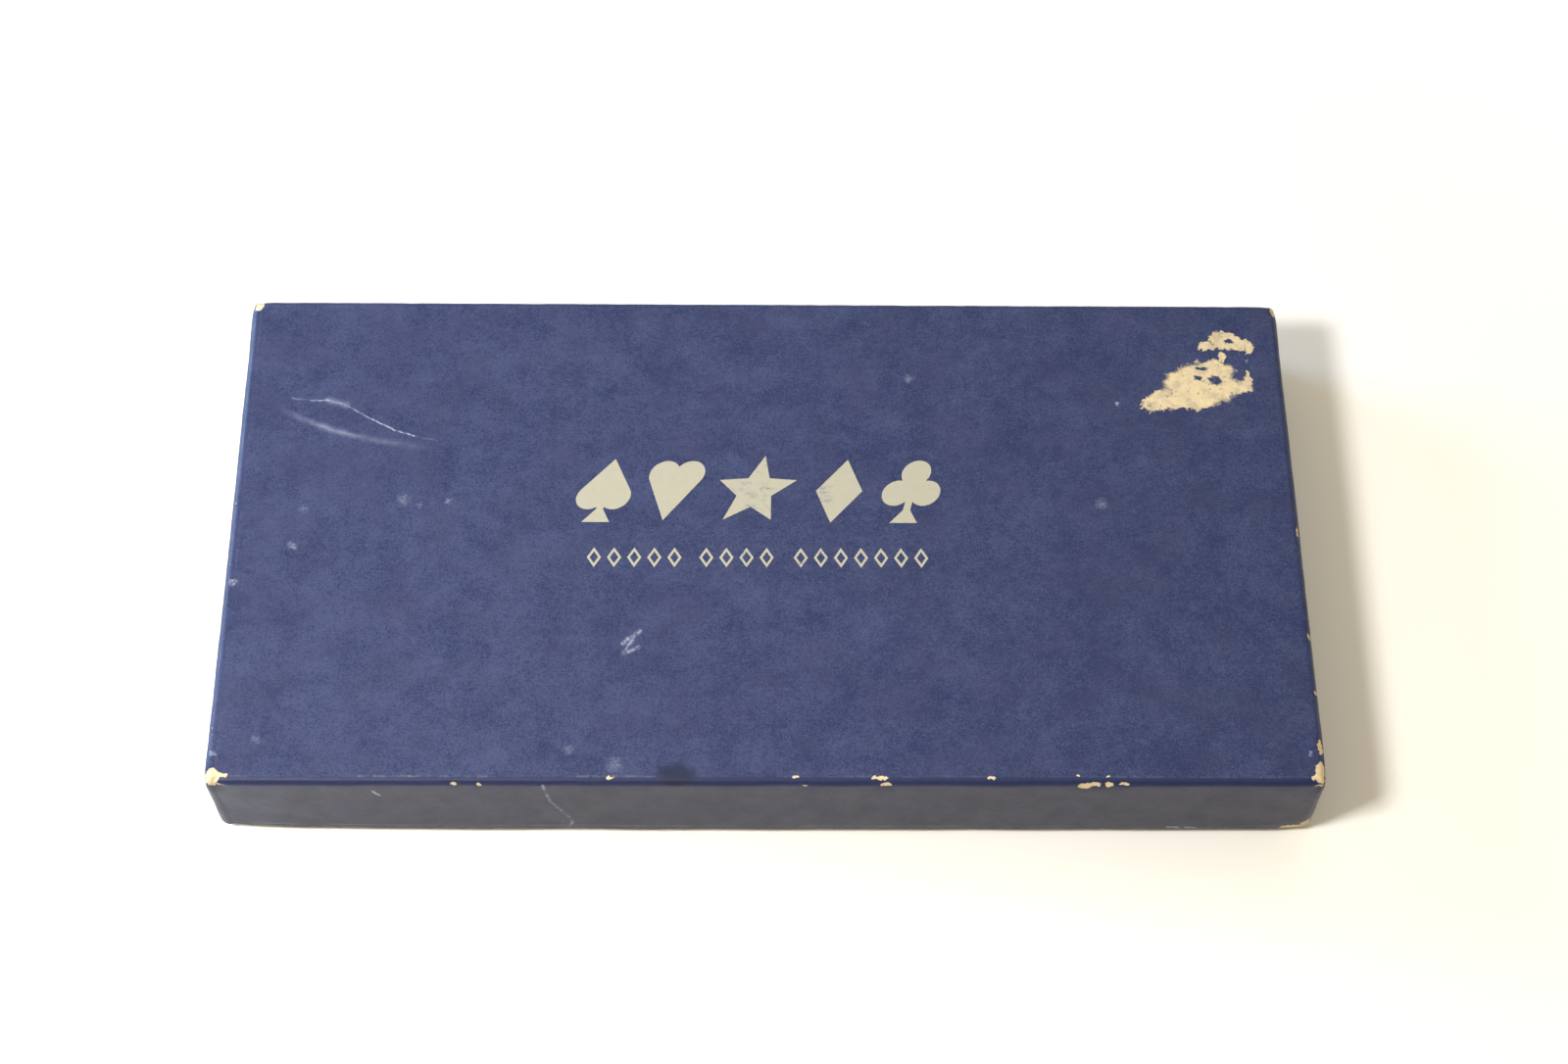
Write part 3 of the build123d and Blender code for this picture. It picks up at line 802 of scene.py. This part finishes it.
def wrap_material():
    """Navy coated paper: mottled, fibrous, rubbed at the folds and chipped to its core."""
    s = Shader("navy_wrap")
    s.skin.inputs["Specular IOR Level"].default_value = 0.35
    x, y, z = s.split.outputs
    on_top = s.rise(z, LID_TOP - 0.25, LID_TOP - 0.1)
    on_front = s.rise(y, 0.3 - LID_HALF[1], -LID_HALF[1])
    grain = fibre(s, 1.3, 0.24)
    speckle = s.noise(2.6, 3.0, 0.7)
    colour = navy_tone(s, grain)

    edge_x = s.math("SUBTRACT", float(LID_HALF[0]), s.math("ABSOLUTE", x))
    edge_y = s.math("SUBTRACT", float(LID_HALF[1]), s.math("ABSOLUTE", y))
    edge_z = s.math("SUBTRACT", float(LID_TOP), z)
    side_gap = s.math("MINIMUM", edge_x, edge_y)
    fold_gap = s.math("MAXIMUM", side_gap, edge_z)

    # The walls are painted a greyer navy than the top, in blotches: a painted sheen for the light that they
    # reflect
    wall = s.rise(edge_z, 0.95, 2.0)
    wall_sheen = s.math("MULTIPLY", wall, s.rise(s.noise(0.22, 4.0, 0.6), 0.25, 0.75, 0.55, 0.9))
    colour = s.mix(wall_sheen, colour, WALL_GREY_SHEEN)
    # Painted shade on the folds, the front one most: a deep navy, partly burnished and partly the dark that
    # the front fold reflects
    frontward = s.rise(y, 4.0 - LID_HALF[1], 2.0 - LID_HALF[1], 0.2, 1.0)
    fold = s.math("MULTIPLY", s.rise(fold_gap, 1.0, 1.35, 0.9, 0.0), frontward)
    colour = s.mix(fold, colour, NAVY_DEEP)
    rim_gap = s.math("SUBTRACT", z, float(LID_RIM))
    # Painted shade: the bottom of the walls, just above the rim, is painted dark where the turned rim faces
    # the shadowed floor
    colour = s.mix(s.rise(rim_gap, 0.7, 1.1, 0.6, 0.0), colour, STAIN_AND_RIM_SHADE)

    stained = s.strayed(1.1, 0.5)
    stain = s.spot(stained, (-15.6, -46.4, LID_TOP), (3.8, 2.6, 2.0))
    colour = s.mix(s.rise(stain, 0.5, 1.15, 0.85, 0.0), colour, STAIN_AND_RIM_SHADE)

    # Pale wear: a thin line along the top of each fold; above the rim, a pale painted highlight
    patchy = s.rise(s.noise(0.12, 4.0, 0.65), 0.42, 0.62)
    streaky = s.rise(s.noise(1.1, 4.0, 0.7), 0.4, 0.62)
    line = s.math("MULTIPLY", s.rise(fold_gap, 1.0, 1.2), s.rise(fold_gap, 1.25, 1.7, 1.0, 0.0))
    line = s.math("MULTIPLY", line, frontward)
    line = s.math("MULTIPLY", line, s.rise(edge_z, 0.3, 0.5, 1.0, 0.0))
    leftward = s.rise(x, -90.0, 20.0, 1.0, 0.25)
    worn = s.math("MULTIPLY", s.math("MULTIPLY", line, streaky), s.math("MULTIPLY", patchy, leftward))
    # Painted highlight: a pale line just above the rim, where its rounding catches the light
    rim_highlight = s.math("MULTIPLY", s.rise(rim_gap, 0.9, 1.2), s.rise(rim_gap, 1.3, 1.7, 1.0, 0.0))
    worn = s.math("MAXIMUM", worn, s.math("MULTIPLY", s.math("MULTIPLY", rim_highlight, patchy), 0.3))
    colour = s.mix(worn, colour, FOLD_WEAR_AND_RIM_HIGHLIGHT)
    marks = scratch_marks(s, on_top, on_front)
    colour = s.mix(marks, colour, SCUFF_PALE)

    bare = bare_core(s, on_top, fold_gap)
    core = s.mix(s.rise(s.noise(0.8, 5.0, 0.7), 0.35, 0.65), CREAM_CORE, CREAM_PALE)
    colour = s.mix(bare, colour, core)

    roughness = s.rise(s.noise(0.3, 3.0), 0.3, 0.75, 0.40, 0.50)
    roughness = s.math("ADD", roughness, s.math("MULTIPLY", fold, 0.10))
    roughness = s.math("MAXIMUM", roughness, s.math("MULTIPLY", s.math("MAXIMUM", bare, marks), 0.85))
    height = s.math("ADD", s.math("MULTIPLY", grain, 0.6), s.math("MULTIPLY", speckle, 0.4))
    normal = s.bump(height, 0.035)
    normal = s.bump(s.math("SUBTRACT", 1.0, bare), 0.09, normal)
    return s.finish(colour, roughness, normal)


def ink_material():
    """Opaque cream ink, thinned by rubbing so that the navy shows through in streaks."""
    s = Shader("cream_ink")
    x = s.split.outputs[0]
    rubbed = s.math("MULTIPLY", s.rise(x, -8.0, -4.0), s.rise(x, 9.0, 13.0, 1.0, 0.0))
    rubbed = s.math("MULTIPLY", rubbed, s.rise(s.noise(0.42, 3.0, 0.6), 0.46, 0.66))
    scuffs = s.noise(0.9, 4.0, 0.75, place=s.scaled(s.place, (0.7, 1.5, 1.0)))
    thin = s.math("MULTIPLY", s.rise(scuffs, 0.44, 0.66, 0.0, 0.7), rubbed)
    fleck = s.rise(s.noise(1.6, 4.0, 0.7), 0.66, 0.72, 0.0, 0.5)
    thin = s.math("MAXIMUM", thin, fleck)
    base = s.mix(s.noise(0.7, 4.0), (0.43, 0.40, 0.30), (0.37, 0.355, 0.285))
    colour = s.mix(thin, base, (0.15, 0.16, 0.20))
    normal = s.bump(fibre(s, 1.6, 0.28), 0.03)
    return s.finish(colour, 0.55, normal)


def plain_paper(name, pale, dark, roughness, fibre_size=(1.4, 0.25), dirt=0.25, flecks=0.0):
    """Uncoated paper or board: fibres, faint clouds and a little soiling."""
    s = Shader(name)
    grain = fibre(s, *fibre_size)
    tone = s.math("MULTIPLY", s.rise(grain, 0.35, 0.65), 0.45)
    tone = s.math("ADD", tone, s.math("MULTIPLY", s.rise(s.noise(0.12, 4.0), 0.35, 0.7), dirt))
    colour = s.mix(tone, pale, dark)
    if flecks:
        fleck = s.rise(s.noise(2.6, 3.0, 0.6), 0.62, 0.7, 0.0, flecks)
        colour = s.mix(fleck, colour, tuple(c * 0.4 for c in dark))
    return s.finish(colour, roughness, s.bump(grain, 0.05))


def card_material(name, middle, size, ink):
    """Playing-card stock with a printed lattice back inside a white border."""
    s = Shader(name)
    x, y, z = s.split.outputs
    local_x = s.math("SUBTRACT", x, float(middle[0]))
    local_y = s.math("SUBTRACT", y, float(middle[1]))
    border = 3.6
    gap_x = s.math("SUBTRACT", size[0] / 2 - border, s.math("ABSOLUTE", local_x))
    gap_y = s.math("SUBTRACT", size[1] / 2 - border, s.math("ABSOLUTE", local_y))
    inside = s.math("MINIMUM", gap_x, gap_y)
    panel = s.rise(inside, -0.05, 0.05)
    ruled = s.math("MULTIPLY", s.rise(inside, 0.75, 0.85), s.rise(inside, 1.2, 1.3, 1.0, 0.0))
    pitch = 4.2
    slant_a = s.math("ADD", local_x, s.math("MULTIPLY", local_y, 0.62))
    slant_b = s.math("SUBTRACT", local_x, s.math("MULTIPLY", local_y, 0.62))
    wave_a = s.math("PINGPONG", slant_a, pitch / 2)
    wave_b = s.math("PINGPONG", slant_b, pitch / 2)
    lines = s.rise(s.math("MINIMUM", wave_a, wave_b), 0.18, 0.28, 1.0, 0.0)
    dots = s.rise(s.math("MAXIMUM", wave_a, wave_b), 0.62, 0.75, 1.0, 0.0)
    dots = s.math("MAXIMUM", dots, s.rise(s.math("MINIMUM", wave_a, wave_b), 1.5, 1.62))
    lace = s.math("MULTIPLY", s.math("MAXIMUM", lines, dots), s.rise(inside, 1.95, 2.05))
    offset = s.vector("SUBTRACT", s.place, (*middle, 0.0))
    oval = s.vector("LENGTH", s.scaled(offset, (1 / 13.0, 1 / 19.0, 0.0)))
    medal = s.rise(oval, 0.98, 1.0, 1.0, 0.0)
    medal_ring = s.math("MULTIPLY", s.rise(oval, 0.86, 0.88), s.rise(oval, 0.93, 0.95, 1.0, 0.0))
    petals = s.math("MULTIPLY", s.rise(oval, 0.3, 0.34), s.rise(oval, 0.72, 0.76, 1.0, 0.0))
    petals = s.math("MULTIPLY", petals, s.rise(s.math("PINGPONG", local_x, 1.6), 0.7, 0.85))
    white = s.math("MAXIMUM", s.math("MULTIPLY", lace, s.math("SUBTRACT", 1.0, medal)), ruled)
    white = s.math("MAXIMUM", white, s.math("MULTIPLY", medal, s.math("MAXIMUM", medal_ring, petals)))
    facing = s.node("ShaderNodeSeparateXYZ")
    s.put(facing.inputs[0], s.node("ShaderNodeNewGeometry").outputs["Normal"])
    printed = s.math("MULTIPLY", panel, s.rise(facing.outputs["Z"], 0.7, 0.9))
    printed = s.math("MULTIPLY", printed, s.math("SUBTRACT", 1.0, white))
    cloud = s.noise(0.8, 4.0, place=s.scaled(s.place, (0.6, 0.6, 3.0)))
    stock = s.mix(cloud, (0.72, 0.69, 0.62), (0.62, 0.58, 0.50))
    wear = s.rise(s.noise(0.25, 5.0, 0.65), 0.35, 0.75, 0.0, 0.22)
    inked = s.mix(wear, ink, tuple(min(c * 2.2 + 0.08, 0.9) for c in ink))
    colour = s.mix(printed, stock, inked)
    return s.finish(colour, 0.38, s.bump(s.noise(2.5, 3.0), 0.012))


def steel_material():
    """Dull steel wire with a little rust colour."""
    s = Shader("staple_steel")
    s.skin.inputs["Metallic"].default_value = 1.0
    colour = s.mix(s.noise(1.2, 4.0), (0.52, 0.51, 0.49), (0.34, 0.30, 0.26))
    return s.finish(colour, 0.38, s.bump(s.noise(3.0, 2.0), 0.01))


def cover_material(name, low, high):
    """The booklet's buff cover, with a ruled frame and a small pip printed on its face."""
    s = Shader(name)
    x, y, z = s.split.outputs
    middle = (low + high) / 2
    half = (high - low) / 2
    local_x = s.math("ABSOLUTE", s.math("SUBTRACT", x, float(middle[0])))
    local_y = s.math("ABSOLUTE", s.math("SUBTRACT", y, float(middle[1])))
    gap_x = s.math("SUBTRACT", float(half[0]), local_x)
    gap_y = s.math("SUBTRACT", float(half[1]), local_y)
    gap = s.math("MINIMUM", gap_x, gap_y)
    thick = s.math("MULTIPLY", s.rise(gap, 5.0, 5.08), s.rise(gap, 6.0, 6.08, 1.0, 0.0))
    thin = s.math("MULTIPLY", s.rise(gap, 6.9, 6.98), s.rise(gap, 7.2, 7.28, 1.0, 0.0))
    lozenge = s.math("ADD", s.math("MULTIPLY", local_x, 1 / 9.0), s.math("MULTIPLY", local_y, 1 / 13.0))
    badge = s.rise(lozenge, 0.99, 1.0, 1.0, 0.0)
    hole = s.math("MULTIPLY", s.rise(lozenge, 0.72, 0.73), s.rise(lozenge, 0.86, 0.87, 1.0, 0.0))
    badge = s.math("MULTIPLY", badge, s.math("SUBTRACT", 1.0, hole))
    print_mask = s.math("MAXIMUM", s.math("MAXIMUM", thick, thin), badge)
    print_mask = s.math("MULTIPLY", print_mask, s.rise(z, float(high[2]) - 0.05, float(high[2]) - 0.02))
    grain = fibre(s, 1.2, 0.22)
    cloud = s.math("MULTIPLY", s.rise(s.noise(0.1, 4.0), 0.3, 0.7), 0.6)
    paper = s.mix(cloud, (0.66, 0.58, 0.42), (0.56, 0.48, 0.33))
    colour = s.mix(s.math("MULTIPLY", print_mask, 0.9), paper, (0.06, 0.075, 0.19))
    return s.finish(colour, 0.7, s.bump(grain, 0.04))


# ---------------------------------------------------------------- the object

def add_piece(piece, body, material):
    """Gives a new piece its material and the body that it moves with."""
    dress(piece, material)
    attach(piece, body)


def greyboard(name):
    return plain_paper(name, (0.36, 0.33, 0.28), (0.26, 0.235, 0.195), 0.85, dirt=0.4, flecks=0.6)


tray_paper = plain_paper("tray_paper", (0.60, 0.55, 0.44), (0.49, 0.44, 0.34), 0.75, dirt=0.4)
add_piece(lid_wrap(), "lid", wrap_material())
add_piece(lid_board(), "lid", greyboard("greyboard"))
add_piece(tray_side_wrap(), "tray", tray_paper)

stay_paper = plain_paper("stay_paper", (0.50, 0.39, 0.26), (0.40, 0.30, 0.19), 0.8)
add_piece(lid_corner_stays(), "lid", stay_paper)

ink = ink_material()
lining = plain_paper("lining_paper", (0.76, 0.73, 0.65), (0.66, 0.62, 0.52), 0.8)
base_paper = plain_paper("base_paper", (0.70, 0.65, 0.54), (0.52, 0.46, 0.36), 0.8, dirt=0.6)
board = greyboard("tray_greyboard")
divider = plain_paper("divider_card", (0.74, 0.71, 0.63), (0.62, 0.58, 0.49), 0.75)
dress(nodes["lid_suit_print"], ink)
dress(nodes["lid_rule_print"], ink)
dress(nodes["lid_lining"], lining)
dress(nodes["tray_corner_stays"], stay_paper)
dress(nodes["tray_board"], board)
dress(nodes["tray_base_paper"], base_paper)
dress(nodes["tray_lining"], lining)
dress(nodes["divider_left"], divider)
dress(nodes["divider_right"], divider)

BACK_INKS = {"left": (0.045, 0.09, 0.32), "middle": (0.42, 0.035, 0.04), "right": (0.03, 0.17, 0.10)}
CARD_SIZE = (57.15, 88.9)
for side, back_ink in BACK_INKS.items():
    low, high = node_box(f"pack_{side}_cards")
    material = card_material(f"cards_{side}", (low + high)[:2] / 2, CARD_SIZE, back_ink)
    dress(nodes[f"pack_{side}_cards"], material)
    dress(nodes[f"pack_{side}_jokers"], material)

dress(nodes["booklet_cover"], cover_material("booklet_cover", *node_box("booklet_cover")))
dress(nodes["booklet_pages"], plain_paper("booklet_pages", (0.78, 0.74, 0.62), (0.68, 0.62, 0.48), 0.8))
dress(nodes["booklet_staples"], steel_material())


# ---------------------------------------------------------------- floor, light and camera

BACKDROP = (1.0, 0.995, 0.98, 1.0)
FLOOR_FADE = (125.0, 420.0)


def pale_floor():
    """A large pale floor under the box, 6 m square."""
    size = 3.0
    mesh = bpy.data.meshes.new("floor")
    corners = [(-size, -size, 0), (size, -size, 0), (size, size, 0), (-size, size, 0)]
    mesh.from_pydata(corners, [], [(0, 1, 2, 3)])
    floor = bpy.data.objects.new("floor", mesh)
    bpy.context.scene.collection.objects.link(floor)
    s = Shader("pale_floor")
    colour = s.mix(s.noise(0.02, 3.0), (0.93, 0.925, 0.91), (0.91, 0.905, 0.89))
    # Far from the lamps the floor is as bright as the backdrop that it runs into
    far = s.rise(s.vector("LENGTH", s.place), FLOOR_FADE[0], FLOOR_FADE[1])
    seen = s.node("ShaderNodeLightPath").outputs["Is Camera Ray"]
    s.skin.inputs["Emission Color"].default_value = BACKDROP
    s.put(s.skin.inputs["Emission Strength"], s.math("MULTIPLY", far, seen))
    dress(floor, s.finish(colour, 0.9, s.bump(s.noise(0.5, 3.0), 0.02)))


def soft_light(name, towards, distance, size, power, colour):
    """A square soft light in that direction from the middle of the box, facing it."""
    data = bpy.data.lights.new(name, "AREA")
    data.shape = "SQUARE"
    data.size = size
    data.energy = power
    data.color = colour
    lamp = bpy.data.objects.new(name, data)
    direction = Vector(towards).normalized()
    lamp.location = direction * distance
    lamp.rotation_euler = direction.to_track_quat("Z", "Y").to_euler()
    bpy.context.scene.collection.objects.link(lamp)


def studio():
    """A key light from the left front, a cool window at the left and a warm dim room."""
    soft_light("key", (-0.47, -0.30, 0.83), 0.50, 0.09, 2.6, (1.0, 0.975, 0.93))
    soft_light("window", (-0.86, 0.42, 0.32), 0.60, 0.26, 3.1, (0.42, 0.66, 1.0))
    soft_light("ceiling", (0.12, 0.48, 0.87), 0.95, 0.60, 1.15, (0.50, 0.68, 1.0))
    world = bpy.data.worlds.new("room")
    world.use_nodes = True
    tree = world.node_tree
    tree.nodes.clear()
    seen = tree.nodes.new("ShaderNodeBackground")
    seen.inputs["Color"].default_value = BACKDROP
    # The room is warm, with cool reflections, and dim towards the front
    place = tree.nodes.new("ShaderNodeTexCoord")
    split = tree.nodes.new("ShaderNodeSeparateXYZ")
    shade = tree.nodes.new("ShaderNodeMapRange")
    for socket, number in zip(shade.inputs[1:5], (-0.9, 0.1, 0.12, 0.74)):
        socket.default_value = number
    fill = tree.nodes.new("ShaderNodeBackground")
    rays = tree.nodes.new("ShaderNodeLightPath")
    tint = tree.nodes.new("ShaderNodeMix")
    tint.data_type = "RGBA"
    tint.inputs[6].default_value = (1.0, 0.83, 0.53, 1)
    tint.inputs[7].default_value = (0.72, 0.84, 1.0, 1)
    tree.links.new(rays.outputs["Is Glossy Ray"], tint.inputs["Factor"])
    tree.links.new(tint.outputs[2], fill.inputs["Color"])
    choice = tree.nodes.new("ShaderNodeMixShader")
    output = tree.nodes.new("ShaderNodeOutputWorld")
    tree.links.new(place.outputs["Generated"], split.inputs[0])
    tree.links.new(split.outputs["Y"], shade.inputs[0])
    tree.links.new(shade.outputs[0], fill.inputs["Strength"])
    tree.links.new(rays.outputs["Is Camera Ray"], choice.inputs[0])
    tree.links.new(fill.outputs[0], choice.inputs[1])
    tree.links.new(seen.outputs[0], choice.inputs[2])
    tree.links.new(choice.outputs[0], output.inputs["Surface"])
    bpy.context.scene.world = world
    bpy.context.scene.view_settings.view_transform = "Standard"


# The camera stands in front of the box, high up, and leans a little to the left
CAMERA_ELEVATION = 61.14
CAMERA_AZIMUTH = -2.30
CAMERA_ROLL = 2.19
CAMERA_DISTANCE = 506.2
CAMERA_TARGET = (3.24, 10.70, 0.0)
FOCAL_LENGTH = 63.45
SENSOR_WIDTH = 36.0


def camera():
    elevation = math.radians(CAMERA_ELEVATION)
    azimuth = math.radians(CAMERA_AZIMUTH)
    back = Vector((math.sin(azimuth) * math.cos(elevation), -math.cos(azimuth) * math.cos(elevation),
                   math.sin(elevation)))
    data = bpy.data.cameras.new("camera")
    data.lens = FOCAL_LENGTH
    data.sensor_width = SENSOR_WIDTH
    data.clip_start = 0.01
    seen_from = bpy.data.objects.new("camera", data)
    seen_from.location = (Vector(CAMERA_TARGET) + back * CAMERA_DISTANCE) * MM
    turn = back.to_track_quat("Z", "Y").to_matrix().to_4x4()
    roll = Matrix.Rotation(math.radians(CAMERA_ROLL), 4, Vector((0, 0, 1)))
    seen_from.rotation_mode = "QUATERNION"
    seen_from.rotation_quaternion = (turn @ roll).to_quaternion()
    bpy.context.scene.collection.objects.link(seen_from)
    bpy.context.scene.camera = seen_from


pale_floor()
studio()
camera()
